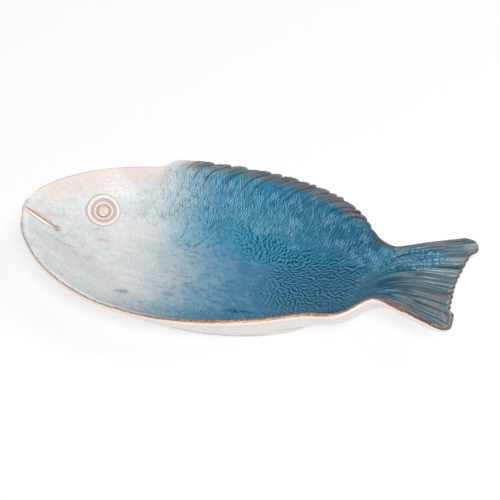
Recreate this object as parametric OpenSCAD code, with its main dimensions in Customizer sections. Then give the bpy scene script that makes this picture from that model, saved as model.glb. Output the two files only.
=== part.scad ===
// Fish-shaped stoneware serving platter: a deep leaf-shaped dish on an oval foot ring,
// with a ribbed dorsal fin along its back edge, a rayed tail, a ringed eye and a pair of lips.
// Millimetres. +X runs from the nose to the tail, +Y to the dorsal fin, +Z up; the foot stands on Z = 0.

/* [Dish] */
// Length of the leaf outline, from the nose to the point where belly and back would meet
dish_l = 352; // [320:1:400]
// Greatest distance of the belly edge from the axis
belly_w = 96; // [82:1:110]
// Greatest distance of the back edge from the axis
back_w = 82; // [70:1:96]
// Height of the belly edge
belly_z = 45; // [38:0.5:52]
// Height of the back edge
back_z = 51; // [42:0.5:58]
// Height of the nose
nose_z = 49; // [42:0.5:54]
// How far the nose lies from the axis, towards the back
nose_off = 10; // [2:0.5:14]
// Thickness of the floor
wall = 7; // [5:0.1:9]
// Least thickness of the wall where it leaves the seat of the foot
wall_root_t = 14; // [9:0.5:16]
// Thickness of the rounded edge
rim_t = 7; // [5:0.1:8]
// Swelling of the belly edge ahead of the tail
vent_w = 13; // [0:0.5:16]
// Length over which the edge runs from the height of the nose to those of the belly and the back
nose_run = 105; // [80:1:130]
// Length over which the edge runs from those heights to the height of the tail's root
tail_run = 84; // [60:1:110]
// Length of the slope inside, from the nose down to the level floor
nose_slope_l = 145; // [120:1:170]
// Length of the slope inside, from the level floor up to the tail
tail_slope_l = 128; // [100:1:150]

/* [Tail] */
// Distance of the tail's root from the point of the leaf
root_gap = 16; // [10:0.5:24]
// Width of the narrow root of the tail
tail_root_w = 62; // [50:1:76]
// How far the tail's root lies off the axis, towards the belly
root_off = 2.2; // [0:0.1:4]
// Height of the edges at the root
tail_root_z = 49; // [42:0.5:54]
// Length of the tail from its root to the tip of the upper lobe
tail_l = 66.5; // [58:0.5:86]
// How far the rounded lobes stand past the toothed trailing edge
lobe_out = 5; // [2:0.5:9]
// How far the trailing edge slants, from its middle to the upper lobe
tail_slant = 8; // [4:0.5:14]
// Distance between the tips of the two lobes
tail_span = 118; // [100:1:140]
// Radius of the lobes' corners
corner_r = 14; // [8:0.5:18]
// Height of the edges at the tips
tail_z = 47; // [42:0.5:54]
// Hollow of the tail between its two edges
tail_dish = 5; // [3:0.5:8]
// Thickness of the tail along its middle
tail_t = 6; // [5:0.1:8]
// Number of rays in the tail
tail_rays = 17; // [11:1:18]
// Height of the rays
ray_h = 1.8; // [0.8:0.1:2.4]

/* [Dorsal fin] */
// Distance of the fin's front end from the nose
fin_from = 102; // [94:1:130]
// Distance of the fin's rear end from the tail's root
fin_gap = 26; // [20:1:50]
// Height of the fin along its own slope
fin_h = 12.5; // [8:0.5:16]
// Angle of the fin above level
fin_lean = 38; // [20:1:55]
// Thickness of the fin at its edge
fin_t = 4; // [3:0.1:5]
// Number of ribs in the fin
fin_ribs = 24; // [15:1:28]
// How much wider apart the ribs stand at the fin's front than midway, as a share
rib_crowd = 0.42; // [0:0.01:0.6]
// Height of the ribs
rib_h = 2.4; // [1:0.1:3]
// How far each rib leans to the tail between the fin's foot and its edge
rib_sweep = 14; // [0:0.5:18]

/* [Foot ring] */
// Distance of the foot's front end from the nose
foot_front = 60; // [50:1:80]
// Distance of the foot's rear end from the tail's root
foot_rear = 52; // [44:1:80]
// Width of the oval foot
foot_w = 112; // [92:1:120]
// Distance of the foot's middle from the axis, towards the back
foot_off = -9; // [-14:0.5:0]
// Height of the foot
foot_h = 6.5; // [4:0.1:9]
// Thickness of the foot
foot_t = 9; // [6:0.5:14]
// Chamfer on the two lower edges of the foot
foot_chamfer = 1.5; // [0.5:0.1:2.5]

/* [Eye] */
// Distance of the eye from the nose
eye_x = 62.5; // [54:0.5:80]
// Distance of the eye from the axis
eye_y = 31.5; // [24:0.5:40]
// Diameter of the outer ring
eye_d = 31; // [26:0.5:36]
// Width of the outer ring
eye_ring_w = 4; // [2.5:0.1:5]
// Height of the rings
eye_ring_h = 1.8; // [1:0.1:2.5]
// Width of the groove between the two rings
eye_groove = 2.2; // [1:0.1:3]
// Width of the inner ring
eye_inner_w = 2.4; // [1.5:0.1:3]
// Width of the groove round the pupil
pupil_groove = 0.8; // [0.4:0.1:1.4]
// Height of the pupil
pupil_h = 2; // [1:0.1:3]
// Clearance between an applied piece and the dish under it
seat_gap = 0.15; // [0.1:0.01:0.3]

/* [Mouth] */
// Distance of the lips from the nose
mouth_from = 1; // [1:0.5:8]
// Length of the mouth
mouth_l = 29; // [20:0.5:36]
// How far the mouth lies from the axis, towards the belly
mouth_off = 6; // [0:0.1:9]
// How far the mouth's corner drops to the belly side
mouth_drop = 1.5; // [0:0.5:6]
// Width of each lip
lip_w = 3.4; // [2:0.1:4.5]
// Height of each lip
lip_h = 1.9; // [1:0.1:3]
// Width of the slit between the lips
mouth_gap = 1.2; // [0.6:0.1:2]

/* [Hidden] */

// Glaze and clay colours
pale_glaze = "#d8dbd9";
blue_glaze = "#4f8fb0";
fin_glaze = "#6f8794";
cream_glaze = "#cbb6a6";
bare_clay = "#c9b09c";

// Counts of facets: stations along each piece, and points across or round it
dish_stations = 42;
dish_across = 26;
seat_across = 6;
tail_stations = 7;
ray_points = 4;
rim_steps = 60;
rib_points = 5;
face_steps = 4;
arc_points = 4;
foot_points = 64;
ring_points = 28;
profile_points = 5;
lip_stations = 14;

// Stations crowd towards the nose: the first one, and how far the crowding gives way to an even easing
first_station = 0.02;
station_ease = 0.6;

// Angles at which a half-round end and the pupil's dome are cut, and a step for taking a direction
end_turns = [35, 65, 85];
dome_turns = [0, 25, 50, 70];
step = 0.02;

// Exponents of the leaf outline at the nose end and at the tail end
belly_nose = 0.58;
belly_end = 0.85;
back_nose = 0.55;
back_end = 0.66;

// Place and spread of the swelling ahead of the tail, as shares of the leaf
vent_at = 0.86;
vent_spread = 0.055;

// Exponents of the walls: steep on the belly side, long and easy on the back side and at both ends
belly_rise = 3.6;
back_rise = 2.6;
end_rise = 2.3;
outer_rise = 1.22;
nose_rise = 3;
under_rise = 1.35;
under_tail = 1.6;

// How widely the leaf blends into the tail, how blunt the nose is, and how far the tail lies off the axis
edge_blend = 0.235 * tail_root_w;
nose_tip = 0.21 * rim_t;
tail_axis = 0.35 * nose_off;

// The tail starts where the leaf has narrowed to its root
root_x = dish_l - root_gap;
slope_end = root_x + tail_l / 2;

// Shares of the tail's half width where its lobes begin and its corners round off
upper_lobe = 0.72;
lower_lobe = 0.46;
lobe_step = 0.10;
corner_from = 0.78;

// Curve of the slanted edge, share of the tail's length where its rays are full, and of a ray that is groove
slant_curve = 1.5;
ray_start = 0.5;
ray_base = 0.5;

// Teeth of the trailing edge, and the rolled edges of the tail
ray_teeth = 0.8 * ray_h;
tail_roll = 0.9 * ray_h;
roll_spread = 0.12;

// Oval foot, and the flat seat under the dish that reaches a little past it
foot_l = root_x - foot_rear - foot_front;
foot_x = foot_front + foot_l / 2;
seat_margin = foot_t / 3;
seat_l = foot_l / 2 + seat_margin;
seat_w = foot_w / 2 + seat_margin;
most_seat = 0.90;
least_seat = 0.06;
floor_z = foot_h + wall;

// Distance from the foot's middle where the straight flanks turn into a full hull, and the length of that turn
hull_from = 0.31 * foot_l;
hull_run = 0.22 * foot_l;

// Dorsal fin: how soon it rises, where it is highest, and how short its rounded rear end is
fin_to = root_x - fin_gap;
fin_grow = 1.9 * fin_h;
fin_drop = 3.6 * fin_h;
fin_low = 0.58;
fin_crest = 0.66;
crest_spread = 0.35;

// Slice of the fin: where a rib is full, how far it reaches past the edge, and the share of it that is groove
rib_full = 0.8;
rib_reach = 0.8;
rib_base = 0.4;

// Roundness of the fin's tip, its heel below the rim, and the skin that it thins out to at its two ends
tip_round = 0.4;
heel_drop = 0.9;
heel_sweep = 0.3;
fin_skin = 0.1 * fin_t;
skin_turn = 80;

// Width and height of a lip at its ends, as a share of those at its middle
lip_tip = 0.3;

// Small helpers
function mix(a, b, k) = a + (b - a) * k;
function clamp01(k) = min(1, max(0, k));
function ease(k) = let (c = clamp01(k)) c * c * (3 - 2 * c);
function bell(k) = exp(-k * k);
function round_off(k) = let (c = clamp01(k)) sqrt(1 - c * c);
function smooth_max(a, b, k) = let (h = max(k - abs(a - b), 0) / k) max(a, b) + h * h * k / 4;
function unit(v) = v / norm(v);
function side_of(t) = t < 0 ? -1 : 1;
function scallop(turns) = abs(cos(180 * turns));
function reversed(list) = [for (i = [len(list) - 1:-1:0]) list[i]];

// Leaf curve: 0 at both ends and 1 at its fullest
function leaf(s, a, b) = let (c = clamp01(s), top = a / (a + b))
    pow(c, a) * pow(1 - c, b) / (pow(top, a) * pow(1 - top, b));

// Outline in plan: the axis, and the distance of each edge from it
function axis_y(x) = let (s = clamp01(x / dish_l)) nose_off * (1 - s) * (1 - s) + tail_axis * ease(s);
function tail_half(x, side) = mix(tail_root_w / 2 - side * root_off, tail_span / 2, (x - root_x) / tail_l);
function belly_half(x) = let (s = x / dish_l)
    belly_w * leaf(s, belly_nose, belly_end) + vent_w * bell((s - vent_at) / vent_spread);
function back_half(x) = back_w * leaf(x / dish_l, back_nose, back_end);
function half(x, side) = smooth_max(side < 0 ? belly_half(x) : back_half(x), tail_half(x, side), edge_blend);
function edge_y(x, side) = axis_y(x) + side * half(x, side);

// Height of the edge: from the nose to the belly or the back, and on to the tail
function nose_share(x) = 1 - ease(x / nose_run);
function tail_share(x) = ease((x - root_x + tail_run) / tail_run);
function edge_z(x, side) = mix(mix(side < 0 ? belly_z : back_z, nose_z, nose_share(x)),
                               mix(tail_root_z, tail_z, clamp01((x - root_x) / tail_l)),
                               tail_share(x));

// Heights along the axis: the floor inside, and the underside
function middle_z(x) = edge_z(x, 1) - tail_dish;
function floor_at(x) = floor_z
    + (nose_z - floor_z) * pow(clamp01(1 - x / nose_slope_l), nose_rise)
    + (middle_z(x) - floor_z) * ease((x - slope_end + tail_slope_l) / tail_slope_l);
function under_at(x) = foot_h
    + (nose_z - rim_t - foot_h) * pow(clamp01(1 - x / (foot_x - seat_l)), under_rise)
    + (middle_z(x) - tail_t - foot_h)
      * pow(ease((x - foot_x - seat_l) / (slope_end - foot_x - seat_l)), under_tail);

// Inside of the dish at a share t of its width, from -1 at the belly edge to 1 at the back edge
function rise_of(x, side) = side < 0 ? mix(belly_rise, end_rise, nose_share(x))
                                     : mix(back_rise, end_rise, max(nose_share(x), tail_share(x)));
function inner_z(x, t) = let (side = side_of(t), low = floor_at(x))
    low + (edge_z(x, side) - low) * pow(abs(t), rise_of(x, side));
function inner_point(x, t) = [x, axis_y(x) + t * half(x, side_of(t)), inner_z(x, t)];

// Inside of the dish at a point of the plan, and a point raised straight out of it
function inside_at(x, y) = let (d = y - axis_y(x)) [x, y, inner_z(x, d / half(x, side_of(d)))];
function out_of(x, y) = unit(cross(inside_at(x + step, y) - inside_at(x - step, y),
                                   inside_at(x, y + step) - inside_at(x, y - step)));
function raised(x, y, h) = inside_at(x, y) + (h + seat_gap) * out_of(x, y);

// Underside: flat over the foot's seat, then up to the edge
function seat_half(x) = seat_w * round_off(abs(x - foot_x) / seat_l);
function seat_edge(x, side) = let (
    room = half(x, side),
    shift = (foot_off - axis_y(x)) * (1 - ease(2 * abs(x - foot_x) / seat_l - 1)))
    min(most_seat * room, max(least_seat * room, side * shift + seat_half(x)));
function least_t(x, t) = mix(mix(wall_root_t, tail_t, max(nose_share(x), tail_share(x))), rim_t, abs(t));
function hull_share(x) = ease((abs(x - foot_x) - hull_from) / hull_run);
function outer_rise_of(x, side) = mix(outer_rise, side < 0 ? belly_rise : back_rise, hull_share(x));
function outer_z(x, t, k) = let (side = side_of(t), rise = outer_rise_of(x, side))
    min(mix(under_at(x), edge_z(x, side) - rim_t, pow(k, rise)), inner_z(x, t) - least_t(x, t));
function outer_point(x, side, k) = let (d = mix(seat_edge(x, side), half(x, side), k))
    [x, axis_y(x) + side * d, outer_z(x, side * d / half(x, side), k)];
function seat_point(x, k) = [x, axis_y(x) + mix(-seat_edge(x, -1), seat_edge(x, 1), k), under_at(x)];

// Level direction straight out of the edge: square to the root's cut there, and along -X at the nose
function edge_out(x, side) = let (
    a = max(0, x - step),
    b = x + step,
    out = unit(side * [edge_y(a, side) - edge_y(b, side), b - a]))
    unit(mix(mix(out, [0, side], bell((x - root_x) / rim_t)), [-1, 0], bell(x / nose_tip)));

// Half-round edge between a point above and a point below, bulging along a level direction
function round_edge(above, below, out, bulge) = [for (i = [1:arc_points - 1])
    let (f = 90 - 180 * i / arc_points)
    mix(above, below, (1 - sin(f)) / 2) + bulge * cos(f) * [out.x, out.y, 0]];

// Closed ring round a thin shell: over the top, round the back edge, under it and round the belly edge.
// A turn over 0 carries the ring part of the way round a half-round end, where top and underside close up
function shell_ring(top, below, turn, end_out, belly_out, back_out) = let (
    last = len(top) - 1,
    pinch = (1 - cos(turn)) / 2,
    push = rim_t / 2 * sin(turn),
    bulge = rim_t / 2 * (1 - sin(turn)),
    high = [for (i = [0:last]) mix(top[i], below[i], pinch) + push * end_out[i]],
    low = [for (i = [0:last]) mix(below[i], top[i], pinch) + push * end_out[i]])
    concat(high,
           round_edge(high[last], low[last], back_out, bulge),
           reversed(low),
           reversed(round_edge(high[0], low[0], belly_out, bulge)));

// Triangles over a list of rings, and over one ring as an end: zipped from top to underside, or fanned
function side_faces(n, m, joined) = [for (j = [0:joined ? m - 1 : m - 2], i = [0:n - 1])
    let (k = (i + 1) % n, next = (j + 1) % m)
    each [[j * n + i, j * n + k, next * n + i], [j * n + k, next * n + k, next * n + i]]];
function zip_faces(n) = let (arc = arc_points - 1, tops = n / 2 - arc, far = n - arc - 1) concat(
    [for (i = [0:tops - 2]) each [[i, i + 1, far - i], [i + 1, far - i - 1, far - i]]],
    [for (i = [1:arc]) [tops - 1, tops - 1 + i, tops + i]],
    [for (i = [1:arc]) [far, far + i, (far + i + 1) % n]]);
function fan_faces(n) = [for (i = [1:n - 2]) [0, i, i + 1]];
function outline_face(n) = [[for (i = [0:n - 1]) i]];
function near_end(faces) = [for (f = faces) reversed(f)];
function far_end(faces, base) = [for (f = faces) [for (p = f) base + p]];
module skin(rings, end) {
    n = len(rings[0]);
    m = len(rings);
    polyhedron(points = [for (r = rings) each r],
               faces = concat(side_faces(n, m, false), near_end(end), far_end(end, (m - 1) * n)));
}
module joined_skin(rings) {
    polyhedron(points = [for (r = rings) each r], faces = side_faces(len(rings[0]), len(rings), true));
}

// Dish: rings from the half-round nose to the flat cut at the tail's root
wall_across = (dish_across - seat_across) / 2;
nose_out = [for (i = [0:dish_across]) [-1, 0, 0]];
function dish_x(k) = let (s = mix(first_station, 1, k)) root_x * mix(s * s, ease(s), station_ease);
function dish_top(x) = [for (i = [0:dish_across]) inner_point(x, sin(180 * i / dish_across - 90))];
function dish_below(x) = concat(
    [for (i = [0:wall_across - 1]) outer_point(x, -1, 1 - i / wall_across)],
    [for (i = [0:seat_across]) seat_point(x, i / seat_across)],
    [for (i = [1:wall_across]) outer_point(x, 1, i / wall_across)]);
function dish_ring(x, turn) = shell_ring(dish_top(x), dish_below(x), turn, nose_out,
                                         edge_out(x, -1), edge_out(x, 1));
dish_rings = concat([for (f = reversed(end_turns)) dish_ring(dish_x(0), f)],
                    [for (i = [0:dish_stations]) dish_ring(dish_x(i / dish_stations), 0)]);

// Tail: rays fan out from the root to a notched trailing edge between two rounded lobes
tail_across = tail_rays * ray_points;
tail_shares = [for (i = [0:tail_across]) 2 * i / tail_across - 1];
function ray(t) = scallop(tail_rays * (t + 1) / 2) - ray_base;
function corner(t) = clamp01((abs(t) - corner_from) / (1 - corner_from));
function trail_x(t) = let (lobe = ease((abs(t) - (t > 0 ? upper_lobe : lower_lobe)) / lobe_step))
    root_x + tail_l - lobe_out - tail_slant
    + (t > 0 ? tail_slant * pow(t / upper_lobe, slant_curve) : 0)
    + mix(ray_teeth * ray(t), lobe_out, lobe)
    - corner_r * (1 - round_off(corner(t)));
function tail_x(u, t) = mix(root_x, trail_x(t), u);
function tail_top(u, t) = let (roll = tail_roll * bell((1 - abs(t)) / roll_spread))
    inner_point(tail_x(u, t), t) + [0, 0, (ray_h * ray(t) + roll) * ease(u / ray_start)];
function tail_below(u, t) = let (x = tail_x(u, t), k = clamp01((abs(t) - least_seat) / (1 - least_seat)))
    [x, axis_y(x) + t * half(x, side_of(t)), outer_z(x, t, k)];
trail_out = [for (t = tail_shares) [cos(90 * corner(t)), side_of(t) * sin(90 * corner(t)), 0]];
function tail_ring(u, turn) = shell_ring([for (t = tail_shares) tail_top(u, t)],
                                         [for (t = tail_shares) tail_below(u, t)],
                                         turn, trail_out,
                                         edge_out(tail_x(u, -1), -1), edge_out(tail_x(u, 1), 1));
tail_rings = concat([for (i = [0:tail_stations]) tail_ring(i / tail_stations, 0)],
                    [for (f = end_turns) tail_ring(1, f)]);

// Dorsal fin: its run along the back edge, as pairs of the length run so far and the place reached
rim_run = [for (i = [0:rim_steps]) let (x = mix(fin_from, fin_to, i / rim_steps)) [x, edge_y(x, 1)]];
run_sums = [for (i = 0, s = 0; i <= rim_steps;
                 s = s + (i < rim_steps ? norm(rim_run[i + 1] - rim_run[i]) : 0), i = i + 1)
            [s, rim_run[i].x]];
fin_run = run_sums[rim_steps][0];
function fin_share(s) = ease(s / fin_grow)
    * mix(fin_low, 1, bell((s / fin_run - fin_crest) / crest_spread))
    * round_off((s - fin_run + fin_drop) / fin_drop);

// A slice of the fin, out and up from the edge: along the ribbed face, round the tip and back to the heel.
// At the fin's ends the slice shrinks to a skin over the half-round edge of the dish
fin_dir = [cos(fin_lean), sin(fin_lean)];
fin_face = [-sin(fin_lean), cos(fin_lean)];
face_shares = [for (i = [1:face_steps]) i / face_steps];
sweep_shares = concat(face_shares, [1, 1, heel_sweep]);
function fin_slice(rib) = concat(
    [for (w = face_shares) fin_dir * (fin_h + rib * rib_reach) * w + fin_face * rib * ease(w / rib_full)],
    [fin_dir * (fin_h + fin_t * tip_round + rib * rib_reach) + fin_face * (rib - fin_t) / 2,
     fin_dir * fin_h - fin_face * fin_t,
     [rim_t, -rim_t * heel_drop]]);
function skin_slice(n) = [for (i = [0:n - 1]) let (f = skin_turn * (1 - 2 * i / (n - 1)), r = rim_t / 2)
    [(r + fin_skin) * cos(f), (r + fin_skin) * sin(f) - r]];

// A ring of the fin at a share p of its ribs: its slice leans to the tail with them,
// and its inner side is the edge of the dish
function fin_edge(s) = let (x = lookup(s, run_sums)) [x, edge_y(x, 1), edge_z(x, 1)];
function fin_point(s, p) = let (e = fin_edge(s), out = edge_out(e.x, 1)) e + [p.x * out.x, p.x * out.y, p.y];
function fin_ring(p) = let (
    s = fin_run * p * (1 + rib_crowd * (1 - p)),
    k = fin_share(s),
    above = fin_edge(s),
    below = above - [0, 0, rim_t],
    far = fin_slice(rib_h * (scallop(fin_ribs * p) - rib_base)),
    near = skin_slice(len(far)))
    concat([above],
           [for (i = [0:len(far) - 1])
               fin_point(s + k * rib_sweep * sweep_shares[i], mix(near[i], far[i], k))],
           [below],
           reversed(round_edge(above, below, edge_out(above.x, 1), rim_t / 2)));
fin_steps = fin_ribs * rib_points;
fin_rings = [for (i = [0:fin_steps]) fin_ring(i / fin_steps)];

// Foot ring: an oval band with both lower edges chamfered
function foot_point(a, inset, z) = [foot_x + (foot_l / 2 - inset) * cos(a),
                                    foot_off + (foot_w / 2 - inset) * sin(a), z];
foot_rings = [for (i = [0:foot_points - 1]) let (a = 360 * i / foot_points) [
    foot_point(a, foot_chamfer, 0), foot_point(a, 0, foot_chamfer), foot_point(a, 0, foot_h),
    foot_point(a, foot_t, foot_h), foot_point(a, foot_t, foot_chamfer),
    foot_point(a, foot_t - foot_chamfer, 0)]];

// Eye: two raised rings and a domed pupil laid on the slope of the back wall
eye_inner_d = eye_d - 2 * (eye_ring_w + eye_groove);
pupil_d = eye_inner_d - 2 * (eye_inner_w + pupil_groove);
eye_mid_y = axis_y(eye_x) + eye_y;
eye_n = out_of(eye_x, eye_mid_y);
eye_e = unit(cross([0, 1, 0], eye_n));
eye_f = cross(eye_n, eye_e);
function eye_point(r, a, h) = let (p = r * (cos(a) * eye_e + sin(a) * eye_f))
    inside_at(eye_x + p.x, eye_mid_y + p.y) + (h + seat_gap) * eye_n;
function eye_rings(d, w) = [for (i = [0:ring_points - 1]) [for (j = [0:profile_points])
    let (f = 180 * j / profile_points)
    eye_point(d / 2 - w / 2 + w / 2 * cos(f), 360 * i / ring_points, eye_ring_h * sin(f))]];
pupil_rings = [for (f = dome_turns) [for (i = [0:ring_points - 1])
    eye_point(pupil_d / 2 * cos(f), -360 * i / ring_points, pupil_h * sin(f))]];

// Lips: two tapering rolls on either side of the mouth's slit
function mouth_y(x) = axis_y(x) - mouth_off - mouth_drop * pow((x - mouth_from) / mouth_l, 2);
function lip_ring(k, side) = let (
    x = mouth_from + k * mouth_l,
    swell = mix(lip_tip, 1, sin(180 * k)),
    w = lip_w * swell)
    [for (j = [0:profile_points]) let (
        f = 180 - 180 * j / profile_points,
        y = mouth_y(x) + side * (mouth_gap + w) / 2 + w / 2 * cos(f))
        raised(x, y, lip_h * swell * sin(f))];
function lip_rings(side) = [for (i = [0:lip_stations]) lip_ring(i / lip_stations, side)];

// The part stands with its origin under the middle of its box
shell_points = [for (rings = [dish_rings, tail_rings, fin_rings]) for (r = rings) each r];
mid_x = (min([for (p = shell_points) p.x]) + max([for (p = shell_points) p.x])) / 2;
mid_y = (min([for (p = shell_points) p.y]) + max([for (p = shell_points) p.y])) / 2;
module placed() {
    translate([-mid_x, -mid_y, 0]) children();
}

module dish() {
    color(blue_glaze) placed() skin(dish_rings, zip_faces(len(dish_rings[0])));
}

module dorsal_fin() {
    color(fin_glaze) placed() skin(fin_rings, outline_face(len(fin_rings[0])));
}

module tail_fin() {
    color(fin_glaze) placed() skin(tail_rings, zip_faces(len(tail_rings[0])));
}

module foot_ring() {
    color(bare_clay) placed() joined_skin(foot_rings);
}

module eye_outer_ring() {
    color(pale_glaze) placed() joined_skin(eye_rings(eye_d, eye_ring_w));
}

module eye_inner_ring() {
    color(pale_glaze) placed() joined_skin(eye_rings(eye_inner_d, eye_inner_w));
}

module eye_pupil() {
    color(cream_glaze) placed() skin(pupil_rings, fan_faces(ring_points));
}

module upper_lip() {
    color(cream_glaze) placed() skin(lip_rings(1), fan_faces(profile_points + 1));
}

module lower_lip() {
    color(cream_glaze) placed() skin(lip_rings(-1), fan_faces(profile_points + 1));
}

dish();
dorsal_fin();
tail_fin();
foot_ring();
eye_outer_ring();
eye_inner_ring();
eye_pupil();
upper_lip();
lower_lip();
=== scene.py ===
import math

import bpy
import numpy as np
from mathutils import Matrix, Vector
from mathutils.bvhtree import BVHTree
from mathutils.kdtree import KDTree


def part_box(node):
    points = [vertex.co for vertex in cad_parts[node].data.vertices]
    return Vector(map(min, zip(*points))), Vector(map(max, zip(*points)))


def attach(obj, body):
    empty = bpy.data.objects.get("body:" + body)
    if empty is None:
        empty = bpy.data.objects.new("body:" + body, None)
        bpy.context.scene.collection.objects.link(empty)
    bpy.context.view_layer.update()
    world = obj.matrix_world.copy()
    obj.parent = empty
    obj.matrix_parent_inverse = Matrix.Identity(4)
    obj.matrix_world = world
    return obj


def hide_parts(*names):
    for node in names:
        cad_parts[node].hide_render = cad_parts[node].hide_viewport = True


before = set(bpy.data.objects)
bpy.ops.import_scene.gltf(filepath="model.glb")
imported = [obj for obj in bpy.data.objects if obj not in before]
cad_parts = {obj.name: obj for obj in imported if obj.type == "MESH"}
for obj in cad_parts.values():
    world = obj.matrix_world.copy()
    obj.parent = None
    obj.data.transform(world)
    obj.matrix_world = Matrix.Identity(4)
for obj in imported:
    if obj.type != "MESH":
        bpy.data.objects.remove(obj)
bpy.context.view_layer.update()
mm = 0.001
weld = 0.01 * mm      # points closer than this are one
roundLevels = 2       # steps of rounding on every piece
scene = bpy.context.scene
scene.view_settings.view_transform = "Standard"
print("platter: frame loaded,", len(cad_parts), "nodes")


def ease(k):
    k = np.clip(k, 0, 1)
    return k * k * (3 - 2 * k)


def bell(k):
    return np.exp(-k * k)


def selectOnly(piece):
    bpy.ops.object.select_all(action="DESELECT")
    piece.select_set(True)
    bpy.context.view_layer.objects.active = piece


# a piece's surface, to be searched and hit by rays
def skinOf(piece):
    return BVHTree.FromPolygons([vertex.co for vertex in piece.data.vertices],
                                [face.vertices for face in piece.data.polygons])


def treeOf(points):
    tree = KDTree(len(points))
    for index, point in enumerate(points):
        tree.insert(point, index)
    tree.balance()
    return tree


# a welded copy of a node's mesh, its triangles paired back into quads
def weldedCopy(nodeName, pieceName):
    piece = bpy.data.objects.new(pieceName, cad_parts[nodeName].data.copy())
    piece.data.name = pieceName
    piece.data.materials.clear()
    scene.collection.objects.link(piece)
    selectOnly(piece)
    bpy.ops.object.mode_set(mode="EDIT")
    bpy.ops.mesh.select_all(action="SELECT")
    bpy.ops.mesh.remove_doubles(threshold=weld)
    bpy.ops.mesh.tris_convert_to_quads(face_threshold=math.pi, shape_threshold=math.pi)
    bpy.ops.mesh.select_mode(type="FACE")
    bpy.ops.mesh.select_all(action="DESELECT")
    bpy.ops.object.mode_set(mode="OBJECT")
    return piece


def rounded(piece):
    rounding = piece.modifiers.new("rounding", "SUBSURF")
    rounding.levels = rounding.render_levels = roundLevels
    bpy.context.view_layer.objects.active = piece
    bpy.ops.object.modifier_apply(modifier=rounding.name)
    bpy.ops.object.shade_smooth()


def vertexPlaces(piece):
    places = np.empty(len(piece.data.vertices) * 3)
    piece.data.vertices.foreach_get("co", places)
    return places.reshape(-1, 3)


def vertexNormals(piece):
    normals = np.empty(len(piece.data.vertices) * 3)
    piece.data.vertices.foreach_get("normal", normals)
    return normals.reshape(-1, 3)


def moveVertices(piece, places):
    piece.data.vertices.foreach_set("co", places.ravel())
    piece.data.update()


# numbers that the glaze reads at each vertex, such as how far in from the edge it lies
def glazeNumbers(piece, **numbers):
    for name, values in numbers.items():
        layer = piece.data.attributes.new(name, "FLOAT", "POINT")
        layer.data.foreach_set("value", np.asarray(values, dtype=np.float32))


# the flat cut between dish and tail is opened, so that the rounding runs on over it
def openRoot(piece):
    for face in piece.data.polygons:
        face.select = abs(face.center.x - rootX) < weld
    bpy.ops.object.mode_set(mode="EDIT")
    bpy.ops.mesh.delete(type="FACE")
    bpy.ops.object.mode_set(mode="OBJECT")


def closeRoot(piece):
    selectOnly(piece)
    bpy.ops.object.mode_set(mode="EDIT")
    bpy.ops.mesh.select_mode(type="EDGE")
    bpy.ops.mesh.select_all(action="DESELECT")
    bpy.ops.mesh.select_non_manifold(extend=False, use_wire=False, use_boundary=True,
                                     use_multi_face=False, use_non_contiguous=False, use_verts=False)
    bpy.ops.mesh.mark_sharp()
    bpy.ops.mesh.edge_face_add()
    bpy.ops.object.mode_set(mode="OBJECT")


# corners that a thumb would round: the vertices inside a box on the plan, in millimetres
def thumbed(piece, values):
    (lowX, highX), (lowY, highY) = values["x"], values["y"]
    for vertex in piece.data.vertices:
        vertex.select = lowX < vertex.co.x / mm < highX and lowY < vertex.co.y / mm < highY
    bpy.ops.object.mode_set(mode="EDIT")
    bpy.ops.mesh.select_mode(type="VERT")
    bpy.ops.mesh.vertices_smooth(factor=values["share"], repeat=values["times"])
    bpy.ops.mesh.select_mode(type="FACE")
    bpy.ops.mesh.select_all(action="DESELECT")
    bpy.ops.object.mode_set(mode="OBJECT")


# dish and tail: one skin over two pieces, cut at the tail's root
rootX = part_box("tail_fin")[0].x
noseValues = {"x": (-210, -200.2), "y": (-30, 40), "share": 0.5, "times": 12}
lobeValues = {"x": (180, 210), "y": (-60, -27), "share": 0.5, "times": 5}
dish = weldedCopy("dish", "platterDish")
thumbed(dish, noseValues)
openRoot(dish)
rounded(dish)
tail = weldedCopy("tail_fin", "tailFan")
thumbed(tail, lobeValues)
openRoot(tail)
rounded(tail)
print("platter: dish and tail rounded,", len(dish.data.polygons), len(tail.data.polygons), "faces")

# rays of the tail: a fan from a point inside the body, which runs on over the root
rayValues = {"count": 17, "apexX": 67.2, "nearest": 4, "axisY": 2.7, "flare": 0.4348,
             "from": 92, "over": 38, "heart": 0.62, "blend": 4, "mean": 0.55,
             "root": 0.85, "tailLift": 0.8, "tailX": 170, "fine": 0.18, "fineCount": 6,
             "bendFrom": 148, "bend": 0.0099, "stray": 0.16, "slow": 2.2, "quick": 4.7, "drift": 0.04,
             "lines": 3.4, "faceFrom": 0.2, "faceOver": 0.4}


def rayPattern(x, y):
    v = rayValues
    bent = y + v["bend"] * np.maximum(v["bendFrom"] - x, 0) ** 2
    spread = (bent - v["axisY"]) / (v["flare"] * np.maximum(x - v["apexX"], v["nearest"]))
    phase = v["count"] * (spread + 1) / 2
    phase = phase + v["stray"] * (np.sin(v["slow"] * phase + 1) + np.sin(v["quick"] * phase + v["drift"] * x))
    profile = np.abs(np.cos(np.pi * phase)) + v["fine"] * np.cos(v["fineCount"] * np.pi * phase + 1)
    onTail = ease((x - rootX / mm) / v["blend"] + 0.5)
    within = 1 - (1 - onTail) * ease((np.abs(spread) - v["heart"]) / (1 - v["heart"]))
    strength = ease((x - v["from"]) / v["over"]) * within
    return profile, strength, phase * v["lines"]


# the edge is where the skin stands upright with nothing beyond it
uprightBelow = 0.3      # the normal's z
edgePoints = []
skins = [skinOf(piece) for piece in (dish, tail)]
for piece in (dish, tail):
    for vertex in piece.data.vertices:
        if abs(vertex.normal.z) < uprightBelow:
            level = Vector((vertex.normal.x, vertex.normal.y, 0)).normalized()
            if all(skin.ray_cast(vertex.co + level * mm, level)[0] is None for skin in skins):
                edgePoints.append(vertex.co.copy())
edgeTree = treeOf(edgePoints)


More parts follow.
